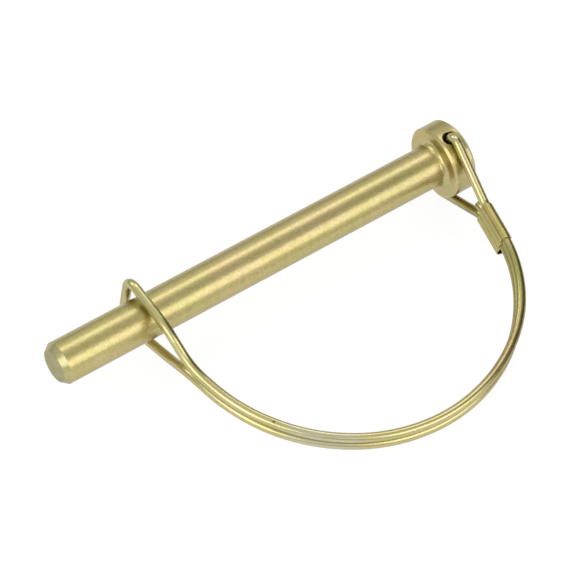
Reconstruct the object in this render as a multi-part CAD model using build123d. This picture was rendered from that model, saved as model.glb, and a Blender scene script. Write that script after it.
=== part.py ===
"""Wire lock pin: a headed steel pin with a spring wire bail that snaps round its shank.

Millimetres. The origin is on the pin's axis in the plane of the shoulder under the head.
+X runs along the shank to its free end, +Y points to the bail's arc, and +Z is up.
The pin lies on its side as it comes to rest: the wire's bend under the head and the arc of
the bail lie on the floor, so the bail's plane slopes down from the pin.

Most of the shapes are drawn in the bail's own plane, where x is the pin's axis, y runs to
the arc and z is the plane's normal. The finished solids are turned about the pin's axis.
"""
from build123d import *
from math import acos, atan2, asin, cos, hypot, pi, radians, degrees, sin, sqrt
import os

# Shank, of 3/8 inch steel bar
SHANK_DIAMETER = 9.525
SHANK_LENGTH = 98.6
TIP_CHAMFER_LENGTH = 1.35
TIP_CHAMFER_DEPTH = 1.06
NECK_FILLET = 1.2

# Head
HEAD_DIAMETER = 16.5
HEAD_THICKNESS = 5.75
HEAD_FRONT_CHAMFER = 0.5
HEAD_BACK_CHAMFER = 0.75

# Hole across the head, which the wire passes through
CROSS_HOLE_DIAMETER = 3.3
CROSS_HOLE_FROM_SHOULDER = 2.9
CROSS_HOLE_EDGE_BREAK = 0.2

# Spring wire
WIRE_DIAMETER = 2.1
STRAND_GAP = 0.1
WIRE_TO_HOLE_GAP = 0.4
WIRE_IN_HOLE_ANGLE = 25

# The bail's arc, in its own plane: a tighter bend near the head runs into a wider one
ARC_REACH = 51.7
ARC_RADIUS = 39.6
HEAD_BEND_RADIUS = 31.8
ARC_PAST_EYE = 0.3
ARC_JOIN_ANGLE = 125
ARC_END_TO_CROTCH = 4.83
STRAND_STAGGER = 0.35
HEAD_SIDE_CLOSING = (0, 0.3, 0.65)
EYE_SIDE_CLOSING = (0.9, 1, 1, 1, 1)

# Eye of the bail round the shank
EYE_FROM_SHOULDER = 74.5
EYE_GAP = 0.85
EYE_CORNER_RADIUS = 3.0
CROTCH_FROM_AXIS = 15.5
CROTCH_BEND_RADIUS = 14.0
LOWER_CROTCH_SPREAD = 0.64
UPPER_CROTCH_SPREAD = 0.73
EYE_MOUTH_FROM_AXIS = 7.6
EYE_MOUTH_BEND_RADIUS = 10.0
EYE_MOUTH_SPREAD = 0.965
EYE_BEND_FROM_AXIS = 1.43

# How far the wire's corners stand past the eye's own place, toward the shank's free end
LOWER_CROTCH_PAST = 0.4
UNDER_SHANK_PAST = 1.4
FAR_LEG_FOOT_PAST = 1.6
FAR_LEG_TOP_PAST = 2.0
OVER_SHANK_PAST = 1.9
UPPER_MOUTH_PAST = 1.8
UPPER_CROTCH_PAST = 0.7

# Crimped sleeve that joins the wires
SLEEVE_LENGTH = 9.1
SLEEVE_WALL = 0.25
SLEEVE_TO_WIRE_GAP = 0.04
SLEEVE_GROOVE_RADIUS = 2.2
SLEEVE_MOUTH_FROM_AXIS = 15.85
SLEEVE_OVER_BEND = 1.1
SLEEVE_RAISE = 0.6
STUB_LENGTH = 2.4
STUB_DIP = 0.6
POCKET_DEPTH = 2.0

# Bends where the wire turns into the hole and out of the sleeve
HOLE_BEND_RADIUS = 1.7
TOP_BEND_SINK = 0.5
LOW_BEND_SINK = 0.2
SLEEVE_EXIT_RADIUS = 3.0
SLEEVE_EXIT_RUN = 0.8

# Share of each bend's full radius that leaves a short straight run between two bends
BEND_SHARE = 0.98

SHANK_RADIUS = SHANK_DIAMETER / 2
HEAD_RADIUS = HEAD_DIAMETER / 2
WIRE_RADIUS = WIRE_DIAMETER / 2
STRAND_PITCH = WIRE_DIAMETER + STRAND_GAP
EYE_HALF = SHANK_RADIUS + EYE_GAP + WIRE_RADIUS

# Centres of the two bends of the arc
ARC_CENTRE = (EYE_FROM_SHOULDER + ARC_PAST_EYE - ARC_RADIUS, ARC_REACH - ARC_RADIUS)
JOIN_ANGLE = radians(ARC_JOIN_ANGLE)
HEAD_BEND_CENTRE = (
    ARC_CENTRE[0] + (ARC_RADIUS - HEAD_BEND_RADIUS) * cos(JOIN_ANGLE),
    ARC_CENTRE[1] + (ARC_RADIUS - HEAD_BEND_RADIUS) * sin(JOIN_ANGLE),
)

# The arc ends a short run above the crotch
ARC_END_HEIGHT = CROTCH_FROM_AXIS + ARC_END_TO_CROTCH - ARC_CENTRE[1]
ARC_END_ANGLE = asin(ARC_END_HEIGHT / ARC_RADIUS)

# The head bend ends where its tangent runs to the sleeve's mouth
SLEEVE_MOUTH = SLEEVE_OVER_BEND - SLEEVE_LENGTH
MOUTH_TO_BEND_CENTRE = hypot(HEAD_BEND_RADIUS, SLEEVE_MOUTH)
MOUTH_ANGLE = pi - asin((SLEEVE_MOUTH_FROM_AXIS - HEAD_BEND_CENTRE[1]) / MOUTH_TO_BEND_CENTRE)
HEAD_BEND_END_ANGLE = MOUTH_ANGLE - atan2(-SLEEVE_MOUTH, HEAD_BEND_RADIUS)
HEAD_BEND_END = (
    HEAD_BEND_CENTRE[0] + HEAD_BEND_RADIUS * cos(HEAD_BEND_END_ANGLE),
    HEAD_BEND_CENTRE[1] + HEAD_BEND_RADIUS * sin(HEAD_BEND_END_ANGLE),
)
SLEEVE_ANGLE = HEAD_BEND_END_ANGLE - pi / 2

# The wire stands a little off the hole's centre, towards the shoulder and the arc
WIRE_IN_HOLE_SHIFT = CROSS_HOLE_DIAMETER / 2 - WIRE_RADIUS - WIRE_TO_HOLE_GAP
WIRE_IN_HOLE = (
    WIRE_IN_HOLE_SHIFT * cos(radians(WIRE_IN_HOLE_ANGLE)) - CROSS_HOLE_FROM_SHOULDER,
    WIRE_IN_HOLE_SHIFT * sin(radians(WIRE_IN_HOLE_ANGLE)),
)
TOP_BEND_START = HEAD_RADIUS - TOP_BEND_SINK
LOW_BEND_START = HEAD_RADIUS - LOW_BEND_SINK


def sleeve_line(along, height, side=0.0):
    """A point on the sleeve's axis, measured from the end of the head bend."""
    return (
        HEAD_BEND_END[0] + along * cos(SLEEVE_ANGLE) - side * sin(SLEEVE_ANGLE),
        HEAD_BEND_END[1] + along * sin(SLEEVE_ANGLE) + side * cos(SLEEVE_ANGLE),
        height,
    )


def rest_tilt():
    """The bail's slope, in degrees, when the arc and the bend under the head lie on one floor."""
    across = ARC_REACH + STRAND_STAGGER - WIRE_IN_HOLE[1] - HOLE_BEND_RADIUS
    below = LOW_BEND_START - STRAND_PITCH / 2
    return degrees(atan2(below, across) + asin(HOLE_BEND_RADIUS / hypot(across, below)))


def pin():
    """Turned pin: chamfered shank, filleted neck and a head with a hole across it."""
    neck_middle = NECK_FILLET * (1 - cos(pi / 4))
    shank_end = SHANK_LENGTH - TIP_CHAMFER_LENGTH
    head_back = -HEAD_THICKNESS
    outline = [
        Polyline(
            (NECK_FILLET, SHANK_RADIUS),
            (shank_end, SHANK_RADIUS),
            (SHANK_LENGTH, SHANK_RADIUS - TIP_CHAMFER_DEPTH),
            (SHANK_LENGTH, 0),
            (head_back, 0),
            (head_back, HEAD_RADIUS - HEAD_BACK_CHAMFER),
            (head_back + HEAD_BACK_CHAMFER, HEAD_RADIUS),
            (-HEAD_FRONT_CHAMFER, HEAD_RADIUS),
            (0, HEAD_RADIUS - HEAD_FRONT_CHAMFER),
            (0, SHANK_RADIUS + NECK_FILLET),
        ),
        ThreePointArc(
            (0, SHANK_RADIUS + NECK_FILLET),
            (neck_middle, SHANK_RADIUS + neck_middle),
            (NECK_FILLET, SHANK_RADIUS),
        ),
    ]
    body = revolve(make_face(outline), Axis.X)
    return body - cross_hole()


def cross_hole():
    """The hole along the bail plane's normal, with both of its edges broken."""
    hole_radius = CROSS_HOLE_DIAMETER / 2
    cut = Cylinder(hole_radius, HEAD_DIAMETER + 2)
    edge_height = sqrt(HEAD_RADIUS**2 - hole_radius**2) - CROSS_HOLE_EDGE_BREAK
    flare = 2 * CROSS_HOLE_EDGE_BREAK + hole_radius
    cone = Cone(hole_radius, hole_radius + flare, flare, align=(Align.CENTER, Align.CENTER, Align.MIN))
    cut += Pos(0, 0, edge_height) * cone
    cut += Rot(180, 0, 0) * Pos(0, 0, edge_height) * cone
    return Pos(-CROSS_HOLE_FROM_SHOULDER, 0, 0) * cut


def bend_corners(centre, radii, start, end, heights):
    """Corners of the straight runs that hold one bend, a corner for each radius and height."""
    step = (end - start) / len(heights)
    corners = []
    for index, (radius, height) in enumerate(zip(radii, heights)):
        angle = start + (index + 0.5) * step
        reach = radius / cos(step / 2)
        corners.append((centre[0] + reach * cos(angle), centre[1] + reach * sin(angle), height))
    return corners


def arc_corners(side):
    """The bail's arc from the sleeve to the eye, for the upper (+1) or the lower (-1) strand.

    The strands leave the sleeve at its own heights and close to the bail's middle plane by the
    shares named above. The upper one stands out by half the stagger on the head's side, and
    the lower one by the whole stagger on the eye's side.
    """
    sleeve_height = SLEEVE_RAISE + (STRAND_PITCH if side > 0 else 0)
    settled = side * STRAND_PITCH / 2
    drop = settled - sleeve_height
    head_bend = HEAD_BEND_RADIUS + (STRAND_STAGGER / 2 if side > 0 else 0)
    arc_bend = ARC_RADIUS + (STRAND_STAGGER if side < 0 else 0)
    head_side = bend_corners(
        HEAD_BEND_CENTRE,
        [HEAD_BEND_RADIUS] + [head_bend] * (len(HEAD_SIDE_CLOSING) - 1),
        HEAD_BEND_END_ANGLE,
        JOIN_ANGLE,
        [sleeve_height + share * drop for share in HEAD_SIDE_CLOSING],
    )
    eye_side = bend_corners(
        ARC_CENTRE,
        [arc_bend] * len(EYE_SIDE_CLOSING),
        JOIN_ANGLE,
        ARC_END_ANGLE,
        [sleeve_height + share * drop for share in EYE_SIDE_CLOSING],
    )
    bends = [HEAD_BEND_RADIUS * BEND_SHARE] * len(head_side)
    bends += [ARC_RADIUS * BEND_SHARE] * len(eye_side)
    return head_side + eye_side, bends


def eye_corners():
    """From the lower strand at the crotch, under the shank, up its far side and back over it."""
    mouth_height = EYE_MOUTH_SPREAD * EYE_HALF
    corners = [
        (EYE_FROM_SHOULDER + LOWER_CROTCH_PAST, CROTCH_FROM_AXIS, -LOWER_CROTCH_SPREAD * STRAND_PITCH),
        (EYE_FROM_SHOULDER, EYE_MOUTH_FROM_AXIS, -mouth_height),
        (EYE_FROM_SHOULDER + UNDER_SHANK_PAST, EYE_BEND_FROM_AXIS, -EYE_HALF),
        (EYE_FROM_SHOULDER + FAR_LEG_FOOT_PAST, -EYE_HALF, -EYE_HALF),
        (EYE_FROM_SHOULDER + FAR_LEG_TOP_PAST, -EYE_HALF, EYE_HALF),
        (EYE_FROM_SHOULDER + OVER_SHANK_PAST, EYE_BEND_FROM_AXIS, EYE_HALF),
        (EYE_FROM_SHOULDER + UPPER_MOUTH_PAST, EYE_MOUTH_FROM_AXIS, mouth_height),
        (EYE_FROM_SHOULDER + UPPER_CROTCH_PAST, CROTCH_FROM_AXIS, UPPER_CROTCH_SPREAD * STRAND_PITCH),
    ]
    radii = [
        CROTCH_BEND_RADIUS,
        EYE_MOUTH_BEND_RADIUS,
        EYE_MOUTH_BEND_RADIUS,
        EYE_CORNER_RADIUS,
        EYE_CORNER_RADIUS,
        EYE_MOUTH_BEND_RADIUS,
        EYE_MOUTH_BEND_RADIUS,
        CROTCH_BEND_RADIUS,
    ]
    return corners, radii


def hole_corner_height(exit_point, bend_start):
    """Height of the corner over the hole, for a bend that meets the run to the sleeve."""
    run = hypot(exit_point[0] - WIRE_IN_HOLE[0], exit_point[1] - WIRE_IN_HOLE[1])
    across = run - HOLE_BEND_RADIUS
    up = abs(exit_point[2]) - bend_start
    touch = atan2(up, across) + acos(HOLE_BEND_RADIUS / hypot(across, up))
    return bend_start + HOLE_BEND_RADIUS * (1 + cos(touch)) / sin(touch)


def head_corners():
    """From the sleeve's mouth over the head, through the hole and back to the sleeve."""
    top_exit = sleeve_line(SLEEVE_MOUTH - SLEEVE_EXIT_RUN, SLEEVE_RAISE + STRAND_PITCH)
    low_exit = sleeve_line(SLEEVE_MOUTH - SLEEVE_EXIT_RUN, SLEEVE_RAISE - STRAND_PITCH)
    corners = [
        top_exit,
        (WIRE_IN_HOLE[0], WIRE_IN_HOLE[1], hole_corner_height(top_exit, TOP_BEND_START)),
        (WIRE_IN_HOLE[0], WIRE_IN_HOLE[1], -hole_corner_height(low_exit, LOW_BEND_START)),
        low_exit,
    ]
    radii = [SLEEVE_EXIT_RADIUS, HOLE_BEND_RADIUS, HOLE_BEND_RADIUS, SLEEVE_EXIT_RADIUS]
    return corners, radii


def wire_path():
    """The one wire from its stub end to the end that is hidden in the sleeve."""
    lower, lower_radii = arc_corners(-1)
    eye, eye_radii = eye_corners()
    upper, upper_radii = arc_corners(1)
    head, head_radii = head_corners()
    start = sleeve_line(SLEEVE_MOUTH - STUB_LENGTH, SLEEVE_RAISE - STUB_DIP)
    stub_exit = sleeve_line(SLEEVE_MOUTH - SLEEVE_EXIT_RUN, SLEEVE_RAISE)
    end = sleeve_line(SLEEVE_OVER_BEND - POCKET_DEPTH, SLEEVE_RAISE - STRAND_PITCH)
    points = [start, stub_exit] + lower + eye + upper[::-1] + head + [end]
    radii = [SLEEVE_EXIT_RADIUS] + lower_radii + eye_radii + upper_radii[::-1] + head_radii
    return FilletPolyline(points, radius=radii)


def bail_wire():
    """Round spring wire along the whole path."""
    path = wire_path()
    section = Plane(origin=path @ 0, z_dir=path % 0) * Circle(WIRE_RADIUS)
    return sweep(section, path=path)


def sleeve_face(plane, wire_offset):
    """A face round three wires in a row, with a shallow groove between each two of them."""
    bulge = WIRE_RADIUS + wire_offset
    groove_out = sqrt(SLEEVE_GROOVE_RADIUS**2 - (STRAND_PITCH / 2) ** 2)
    groove_depth = groove_out - (SLEEVE_GROOVE_RADIUS - bulge)
    touch_x = bulge * groove_out / SLEEVE_GROOVE_RADIUS
    touch_y = bulge * STRAND_PITCH / 2 / SLEEVE_GROOVE_RADIUS
    edges = []
    for side in (1, -1):
        end = side * (STRAND_PITCH - touch_y)
        edges.append(ThreePointArc((-touch_x, end), (0, side * (STRAND_PITCH + bulge)), (touch_x, end)))
        x = side * touch_x
        edges.append(ThreePointArc((x, -touch_y), (side * bulge, 0), (x, touch_y)))
        for up in (1, -1):
            near = (x, up * touch_y)
            middle = (side * groove_depth, up * STRAND_PITCH / 2)
            far = (x, up * (STRAND_PITCH - touch_y))
            edges.append(ThreePointArc(near, middle, far))
    return plane * make_face(edges)


def sleeve():
    """Thin steel sleeve, pressed round the wires."""
    mouth = sleeve_line(SLEEVE_MOUTH, SLEEVE_RAISE)
    further = sleeve_line(SLEEVE_MOUTH + 1, SLEEVE_RAISE)
    beside = sleeve_line(SLEEVE_MOUTH, SLEEVE_RAISE, 1)
    plane = Plane(
        origin=mouth,
        x_dir=Vector(*mouth) - Vector(*beside),
        z_dir=Vector(*further) - Vector(*mouth),
    )
    outside = sleeve_face(plane, SLEEVE_TO_WIRE_GAP + SLEEVE_WALL)
    inside = sleeve_face(plane, SLEEVE_TO_WIRE_GAP)
    return extrude(outside - inside, SLEEVE_LENGTH)


def main():
    os.makedirs("parts", exist_ok=True)
    tilt = Rot(-rest_tilt(), 0, 0)
    for name, shape in (("pin", pin()), ("bail_wire", bail_wire()), ("ferrule", sleeve())):
        export_step(tilt * shape, f"parts/{name}.step")
    path = wire_path()
    print("bail tilt", round(rest_tilt(), 4), "wire length", round(path.length, 2))


main()
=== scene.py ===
"""Looks of the wire lock pin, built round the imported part. Metres, in the part's own frame."""

from math import cos, pi, radians

import bpy
from mathutils import Matrix, Vector


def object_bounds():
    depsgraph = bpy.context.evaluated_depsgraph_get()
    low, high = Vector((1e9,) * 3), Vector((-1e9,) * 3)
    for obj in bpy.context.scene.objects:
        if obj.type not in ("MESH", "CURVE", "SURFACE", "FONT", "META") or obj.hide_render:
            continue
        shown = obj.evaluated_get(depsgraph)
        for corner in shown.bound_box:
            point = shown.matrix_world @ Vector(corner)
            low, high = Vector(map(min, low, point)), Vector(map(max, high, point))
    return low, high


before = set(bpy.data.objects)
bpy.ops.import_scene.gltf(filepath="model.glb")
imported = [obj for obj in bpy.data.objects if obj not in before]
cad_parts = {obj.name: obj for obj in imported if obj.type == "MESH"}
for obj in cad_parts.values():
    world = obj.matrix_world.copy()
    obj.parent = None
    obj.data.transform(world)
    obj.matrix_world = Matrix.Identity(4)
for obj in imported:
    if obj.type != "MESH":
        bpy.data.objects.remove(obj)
cad_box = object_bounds()

WHITE = (1, 1, 1, 1)


class Nodes:
    """A short way to write the nodes of a material or of the world."""

    def __init__(self, owner):
        owner.use_nodes = True
        self.owner = owner
        self.tree = owner.node_tree
        self.tree.nodes.clear()

    def add(self, kind, inputs=None, **settings):
        """A node with its settings, and with each input linked or set."""
        node = self.tree.nodes.new(kind)
        for key, value in settings.items():
            setattr(node, key, value)
        for key, value in (inputs or {}).items():
            socket = node.inputs[key]
            if isinstance(value, bpy.types.NodeSocket):
                self.tree.links.new(value, socket)
            else:
                socket.default_value = value
        return node

    def math(self, operation, a, b=0.0):
        return self.add("ShaderNodeMath", {0: a, 1: b}, operation=operation).outputs[0]

    def line(self, value, slope, base):
        """The value times the slope, plus the base."""
        return self.math("ADD", self.math("MULTIPLY", value, slope), base)

    def between(self, value, start, end, low=0.0, high=1.0):
        """A smooth step from low to high while the value goes from start to end."""
        node = self.add(
            "ShaderNodeMapRange",
            {"Value": value, "From Min": start, "From Max": end, "To Min": low, "To Max": high},
            interpolation_type="SMOOTHSTEP",
        )
        return node.outputs[0]

    def scaled(self, vector, scale):
        return self.add("ShaderNodeMapping", {"Vector": vector, "Scale": scale}).outputs["Vector"]

    def distance(self, vector, place):
        node = self.add("ShaderNodeVectorMath", {0: vector, 1: place}, operation="DISTANCE")
        return node.outputs["Value"]

    def noise(self, vector, scale, detail, roughness):
        values = {"Vector": vector, "Scale": scale, "Detail": detail, "Roughness": roughness}
        return self.add("ShaderNodeTexNoise", values).outputs["Fac"]

    def ramp(self, value, stops):
        """A colour for the value, from stops that are a position and a colour each."""
        node = self.add("ShaderNodeValToRGB", {"Fac": value})
        elements = node.color_ramp.elements
        while len(elements) < len(stops):
            elements.new(0.5)
        for element, (position, colour) in zip(elements, stops):
            element.position = position
            element.color = (*colour, 1)
        return node.outputs["Color"]

    def mix(self, share, colour, tint):
        """The colour with a share of the tint in it."""
        node = self.add("ShaderNodeMix", {0: share, 6: colour, 7: (*tint, 1)}, data_type="RGBA")
        return node.outputs[2]


def turned_coordinates(n):
    """The place, and its distance along the axis, out from the axis and round it."""
    place = n.add("ShaderNodeTexCoord").outputs["Object"]
    parts = n.add("ShaderNodeSeparateXYZ", {0: place})
    x, y, z = parts.outputs[0], parts.outputs[1], parts.outputs[2]
    squares = n.math("ADD", n.math("MULTIPLY", y, y), n.math("MULTIPLY", z, z))
    radius = n.math("SQRT", squares)
    turn = n.math("ARCTAN2", z, y)
    return place, x, radius, turn


# Zinc plate: the metal's tint at grazing angles, and the clear film on it
GRAZING_TINT = (0.40, 0.38, 0.30, 1)
FILM_WEIGHT = 0.8
FILM_ROUGHNESS = 0.2
FILM_IOR = 1.7


def zinc(n, colour, roughness, height, bump_depth, bump_strength):
    """Zinc plate under the thin clear film that gives it its colour."""
    bump = n.add(
        "ShaderNodeBump",
        {"Height": height, "Distance": bump_depth, "Strength": bump_strength},
    )
    shader = n.add(
        "ShaderNodeBsdfPrincipled",
        {
            "Base Color": colour,
            "Roughness": roughness,
            "Normal": bump.outputs["Normal"],
            "Metallic": 1.0,
            "Specular Tint": GRAZING_TINT,
            "Coat Weight": FILM_WEIGHT,
            "Coat Roughness": FILM_ROUGHNESS,
            "Coat IOR": FILM_IOR,
        },
    )
    n.add("ShaderNodeOutputMaterial", {"Surface": shader.outputs[0]})
    return n.owner


# The lists below are written in the same way for all three metals.
# Tints: a place in the noise and a colour for each.
# Noises: the scale, the detail and the roughness.
# Steps: where the noise starts and ends to count, and the share of the tint at both.

# Pin: long patches of three tints, with turning marks and grain over them
GREENISH = (0.51, 0.455, 0.16)
STRAW = (0.54, 0.45, 0.165)
PINKISH = (0.565, 0.45, 0.20)
TURNING_MARKS = (0.42, 0.345, 0.095)
PIN_TINTS = ((0.38, GREENISH), (0.50, STRAW), (0.64, PINKISH))
PIN_PATCH_SCALES = (60.0, 140.0, 140.0)
PIN_PATCHES = (1.0, 3.0, 0.55)
RINGS = (5200.0, 3.0, 0.6)
WIDE_RINGS = (700.0, 2.0, 0.5)
BLOTCHES = (420.0, 3.0, 0.6)
GRAIN = (1900.0, 2.0, 0.6)
RING_WANDER = 0.0004
WIDE_RING_STEP = (0.35, 0.75, 0.0, 0.35)
GRAIN_STEP = (0.42, 0.66, 0.0, 0.65)
PIN_ROUGHNESS = 0.29
RING_ROUGHNESS = 0.12
RING_HEIGHT = 0.6
WIDE_RING_HEIGHT = 0.8
GRAIN_HEIGHT = 0.9
PIN_BUMP_DEPTH = 0.00005
PIN_BUMP_STRENGTH = 0.7

# Places on the pin with a tint of their own: the head, the chamfer at the tip and the tip's face
HEAD_SIDE = (0.44, 0.37, 0.13)
HEAD_STARTS = -0.0002
HEAD_FULL = -0.0006
TIP = cad_box[1][0]
TIP_CHAMFER = (0.40, 0.375, 0.17)
TIP_CHAMFER_LENGTH = 0.00135
CHAMFER_EDGE = TIP - TIP_CHAMFER_LENGTH
CHAMFER_EDGE_BLUR = 0.00005
TIP_FACE = (0.30, 0.265, 0.05)
FACE_STARTS = TIP - 0.00012
FACE_FULL = TIP - 0.00004
FACE_ROUGHNESS = 0.1
MOTTLE_STEP = (0.25, 0.65, 0.3, 0.9)
FACE_MOTTLE_STEP = (0.2, 0.65, 0.35, 0.9)


def pin_material():
    n = Nodes(bpy.data.materials.new("turned_yellow_zinc"))
    place, x, radius, turn = turned_coordinates(n)
    wander = n.math("MULTIPLY", turn, RING_WANDER)
    along = n.add("ShaderNodeCombineXYZ", {0: x, 1: radius, 2: wander}).outputs[0]
    rings = n.noise(along, *RINGS)
    wide_rings = n.noise(along, *WIDE_RINGS)
    patches = n.noise(n.scaled(place, PIN_PATCH_SCALES), *PIN_PATCHES)
    blotches = n.noise(place, *BLOTCHES)
    grain = n.noise(place, *GRAIN)

    colour = n.ramp(patches, PIN_TINTS)
    colour = n.mix(n.between(wide_rings, *WIDE_RING_STEP), colour, TURNING_MARKS)
    colour = n.mix(n.between(grain, *GRAIN_STEP), colour, TURNING_MARKS)

    mottled = n.between(blotches, *MOTTLE_STEP)
    on_head = n.between(x, HEAD_STARTS, HEAD_FULL)
    colour = n.mix(n.math("MULTIPLY", on_head, mottled), colour, HEAD_SIDE)
    on_chamfer = n.between(x, CHAMFER_EDGE - CHAMFER_EDGE_BLUR, CHAMFER_EDGE + CHAMFER_EDGE_BLUR)
    colour = n.mix(n.math("MULTIPLY", on_chamfer, mottled), colour, TIP_CHAMFER)
    face_mottled = n.between(blotches, *FACE_MOTTLE_STEP)
    on_face = n.between(x, FACE_STARTS, FACE_FULL)
    colour = n.mix(n.math("MULTIPLY", on_face, face_mottled), colour, TIP_FACE)

    roughness = n.line(rings, RING_ROUGHNESS, PIN_ROUGHNESS)
    roughness = n.line(on_face, FACE_ROUGHNESS, roughness)
    height = n.math("MULTIPLY", rings, RING_HEIGHT)
    height = n.line(wide_rings, WIDE_RING_HEIGHT, height)
    height = n.line(grain, GRAIN_HEIGHT, height)
    return zinc(n, colour, roughness, height, PIN_BUMP_DEPTH, PIN_BUMP_STRENGTH)


# Wire: patches of three tints on a smooth drawn surface
WIRE_TINTS = (
    (0.34, (0.47, 0.435, 0.15)),
    (0.50, (0.51, 0.45, 0.175)),
    (0.68, (0.55, 0.455, 0.22)),
)
WIRE_PATCHES = (90.0, 3.0, 0.55)
WIRE_FINE = (700.0, 2.0, 0.5)
WIRE_STREAKS = (320.0, 3.0, 0.6)
STREAK_STEP = (0.3, 0.6, 0.5, 1.0)
WIRE_ROUGHNESS = 0.25
WIRE_FINE_ROUGHNESS = 0.06
SMOOTH_BUMP_DEPTH = 0.000002
SMOOTH_BUMP_STRENGTH = 0.2

# Places on the wire with painted shade, darker and browner on the arc's strands (the brown partly the
# plating's own) and under the head, and where the plating is worn paler: a place, its reach and a
# colour
# Painted shade on the arc's strands: brown that is partly the plating's own tint, made darker as shade
BROWN_TINT_AND_SHADE_ARC = ((0.010, 0.042, -0.007), 0.022, (0.31, 0.225, 0.06))
# Painted shade: olive darkening in the crease between the two strands of the arc
OLIVE_SHADE_ARC = ((0.002, 0.031, -0.005), 0.014, (0.30, 0.27, 0.055))
# Painted shade: the lower strand darkened where it runs under the head
SHADE_UNDER_HEAD = ((0.0, 0.011, -0.007), 0.010, (0.30, 0.24, 0.06))
PALE_LOW_ARC = ((0.060, 0.041, -0.005), 0.011, (0.54, 0.51, 0.32))

# A short dark mark on the upper strand, at the bottom of the arc
DARK_MARK_PLACE = (0.06800, 0.03465, -0.00385)
DARK_MARK_REACH = 0.0004
DARK_MARK = (0.09, 0.075, 0.04)
DARK_MARK_SHARE = 0.85


def wire_material():
    """The tinted and painted-shade places are full within a third of their reach, and the dark mark
    within half of it.
    """
    n = Nodes(bpy.data.materials.new("drawn_yellow_zinc_wire"))
    place = n.add("ShaderNodeTexCoord").outputs["Object"]
    patches = n.noise(place, *WIRE_PATCHES)
    fine = n.noise(place, *WIRE_FINE)
    streaked = n.between(n.noise(place, *WIRE_STREAKS), *STREAK_STEP)

    colour = n.ramp(patches, WIRE_TINTS)
    # Painted shade in the first three places, worn paler plating in the last, each broken up by streaks
    for centre, reach, tint in (BROWN_TINT_AND_SHADE_ARC, OLIVE_SHADE_ARC, SHADE_UNDER_HEAD, PALE_LOW_ARC):
        near = n.between(n.distance(place, centre), reach, reach / 3)
        colour = n.mix(n.math("MULTIPLY", near, streaked), colour, tint)
    from_dark_mark = n.distance(place, DARK_MARK_PLACE)
    colour = n.mix(n.between(from_dark_mark, DARK_MARK_REACH, DARK_MARK_REACH / 2, high=DARK_MARK_SHARE), colour, DARK_MARK)

    roughness = n.line(fine, WIRE_FINE_ROUGHNESS, WIRE_ROUGHNESS)
    return zinc(n, colour, roughness, fine, SMOOTH_BUMP_DEPTH, SMOOTH_BUMP_STRENGTH)


# Ferrule: smaller patches of three tints, darker than the wire's
FERRULE_TINTS = (
    (0.34, (0.40, 0.355, 0.08)),
    (0.50, (0.44, 0.375, 0.095)),
    (0.68, (0.48, 0.385, 0.13)),
)
FERRULE_PATCHES = (260.0, 3.0, 0.55)
FERRULE_FINE = (900.0, 3.0, 0.6)
FERRULE_ROUGHNESS = 0.20
FERRULE_FINE_ROUGHNESS = 0.10


def ferrule_material():
    n = Nodes(bpy.data.materials.new("pressed_yellow_zinc"))
    place = n.add("ShaderNodeTexCoord").outputs["Object"]
    fine = n.noise(place, *FERRULE_FINE)
    colour = n.ramp(n.noise(place, *FERRULE_PATCHES), FERRULE_TINTS)
    roughness = n.line(fine, FERRULE_FINE_ROUGHNESS, FERRULE_ROUGHNESS)
    return zinc(n, colour, roughness, fine, SMOOTH_BUMP_DEPTH, SMOOTH_BUMP_STRENGTH)


def dress(node, material):
    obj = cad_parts[node]
    obj.data.materials.clear()
    obj.data.materials.append(material)


dress("pin", pin_material())
dress("bail_wire", wire_material())
dress("ferrule", ferrule_material())

# Floor: it looks nearly white to the camera and in the metal, and its grey paint takes the shadow
FLOOR_HALF_SIZE = 6.0
FLOOR_GLOW = 0.88
FLOOR_PAINT = 0.16


def floor_material():
    n = Nodes(bpy.data.materials.new("pale_floor"))
    path = n.add("ShaderNodeLightPath")
    seen = n.math("MAXIMUM", path.outputs["Is Camera Ray"], path.outputs["Is Glossy Ray"])
    seen = n.math("MAXIMUM", seen, path.outputs["Is Transmission Ray"])
    strength = n.math("MULTIPLY", seen, FLOOR_GLOW)
    glow = n.add("ShaderNodeEmission", {"Color": WHITE, "Strength": strength})
    paint = n.add("ShaderNodeBsdfDiffuse", {"Color": (FLOOR_PAINT, FLOOR_PAINT, FLOOR_PAINT, 1)})
    both = n.add("ShaderNodeAddShader", {0: glow.outputs[0], 1: paint.outputs[0]})
    n.add("ShaderNodeOutputMaterial", {"Surface": both.outputs[0]})
    return n.owner


def floor(height):
    mesh = bpy.data.meshes.new("floor")
    corners = [(-1, -1), (1, -1), (1, 1), (-1, 1)]
    points = [(x * FLOOR_HALF_SIZE, y * FLOOR_HALF_SIZE, height) for x, y in corners]
    mesh.from_pydata(points, [], [(0, 1, 2, 3)])
    mesh.materials.append(floor_material())
    obj = bpy.data.objects.new("floor", mesh)
    bpy.context.scene.collection.objects.link(obj)


floor(height=cad_box[0][2])

# Room: plain grey, paler from the horizon up to the ceiling, and dimmer round one direction.
# CEILING_FROM is the height of a direction of length 1, and the angles are from DIM_SIDE.
WALL_LEVEL = 0.42
CEILING_LEVEL = 0.82
CEILING_FROM = 0.6
DIM_SIDE = Vector((-0.86, 0.17, 0.48)).normalized()
DIM_SIDE_SHARE = 0.16
DIM_SIDE_STARTS = radians(44)
DIM_SIDE_FULL = radians(16)


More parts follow.
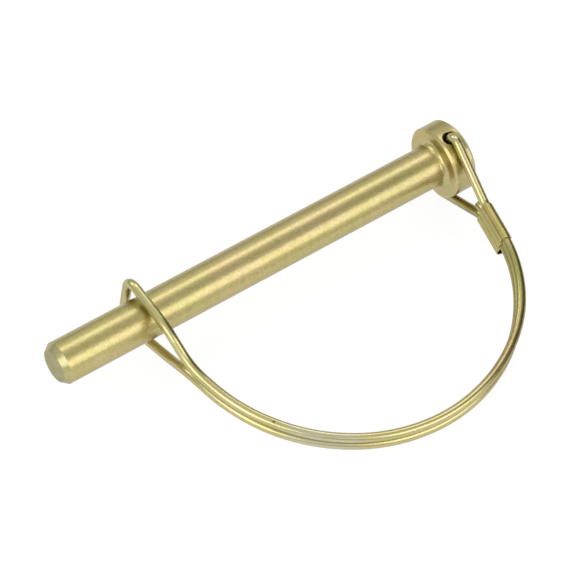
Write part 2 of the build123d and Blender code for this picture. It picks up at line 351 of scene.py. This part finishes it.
def room():
    world = bpy.data.worlds.new("studio")
    bpy.context.scene.world = world
    n = Nodes(world)
    direction = n.add("ShaderNodeTexCoord").outputs["Generated"]
    height = n.add("ShaderNodeSeparateXYZ", {0: direction}).outputs[2]
    level = n.between(height, 0.0, CEILING_FROM, WALL_LEVEL, CEILING_LEVEL)
    vectors = {0: direction, 1: tuple(DIM_SIDE)}
    toward = n.add("ShaderNodeVectorMath", vectors, operation="DOT_PRODUCT").outputs["Value"]
    dimming = n.between(toward, cos(DIM_SIDE_STARTS), cos(DIM_SIDE_FULL), 1.0, DIM_SIDE_SHARE)
    strength = n.math("MULTIPLY", level, dimming)
    grey = n.add("ShaderNodeBackground", {"Color": WHITE, "Strength": strength})
    n.add("ShaderNodeOutputWorld", {0: grey.outputs[0]})


# Lamps: neutral softboxes at one distance from the part
LAMP_DISTANCE = 1.2


def softbox(name, direction, across, along, brightness):
    """A flat white lamp that faces the part; its size along runs as the shank does."""
    lamp = bpy.data.lights.new(name, "AREA")
    lamp.shape = "RECTANGLE"
    lamp.size = across
    lamp.size_y = along
    lamp.energy = brightness * pi * across * along
    back = Vector(direction).normalized()
    up = (Vector((1, 0, 0)) - back * back.x).normalized()
    side = up.cross(back)
    obj = bpy.data.objects.new(name, lamp)
    turn = Matrix((side, up, back)).transposed().to_4x4()
    obj.matrix_world = Matrix.Translation(back * LAMP_DISTANCE) @ turn
    obj.visible_camera = False
    bpy.context.scene.collection.objects.link(obj)


room()
softbox("lamp_back", (-0.33, -0.39, 0.86), across=0.38, along=1.1, brightness=1.65)
softbox("lamp_left", (0.30, -0.70, 0.65), across=0.40, along=0.40, brightness=3.0)
softbox("lamp_right", (-0.28, 0.83, 0.48), across=0.80, along=0.95, brightness=1.55)
softbox("lamp_front", (0.83, 0.33, 0.45), across=0.80, along=0.80, brightness=1.9)

# Camera: where the photograph was taken from, with millimetres for the lens and the sensor
LENS = 200.0
SENSOR_WIDTH = 36.0
CLIP_START = 0.05
CLIP_END = 20.0
CAMERA_PLACE = (0.31658361, 0.33977959, 0.51801183)
CAMERA_RIGHT = Vector((-0.805337, 0.591219, 0.043499))
CAMERA_UP = Vector((-0.435303, -0.639572, 0.633608))
CAMERA_BACK = Vector((0.402422, 0.491332, 0.772431))


def camera():
    lens = bpy.data.cameras.new("camera")
    lens.lens = LENS
    lens.sensor_width = SENSOR_WIDTH
    lens.sensor_fit = "HORIZONTAL"
    lens.clip_start = CLIP_START
    lens.clip_end = CLIP_END
    obj = bpy.data.objects.new("camera", lens)
    turn = Matrix((CAMERA_RIGHT, CAMERA_UP, CAMERA_BACK)).transposed().to_4x4()
    obj.matrix_world = Matrix.Translation(CAMERA_PLACE) @ turn
    bpy.context.scene.collection.objects.link(obj)
    bpy.context.scene.camera = obj


camera()
bpy.context.scene.view_settings.view_transform = "Standard"
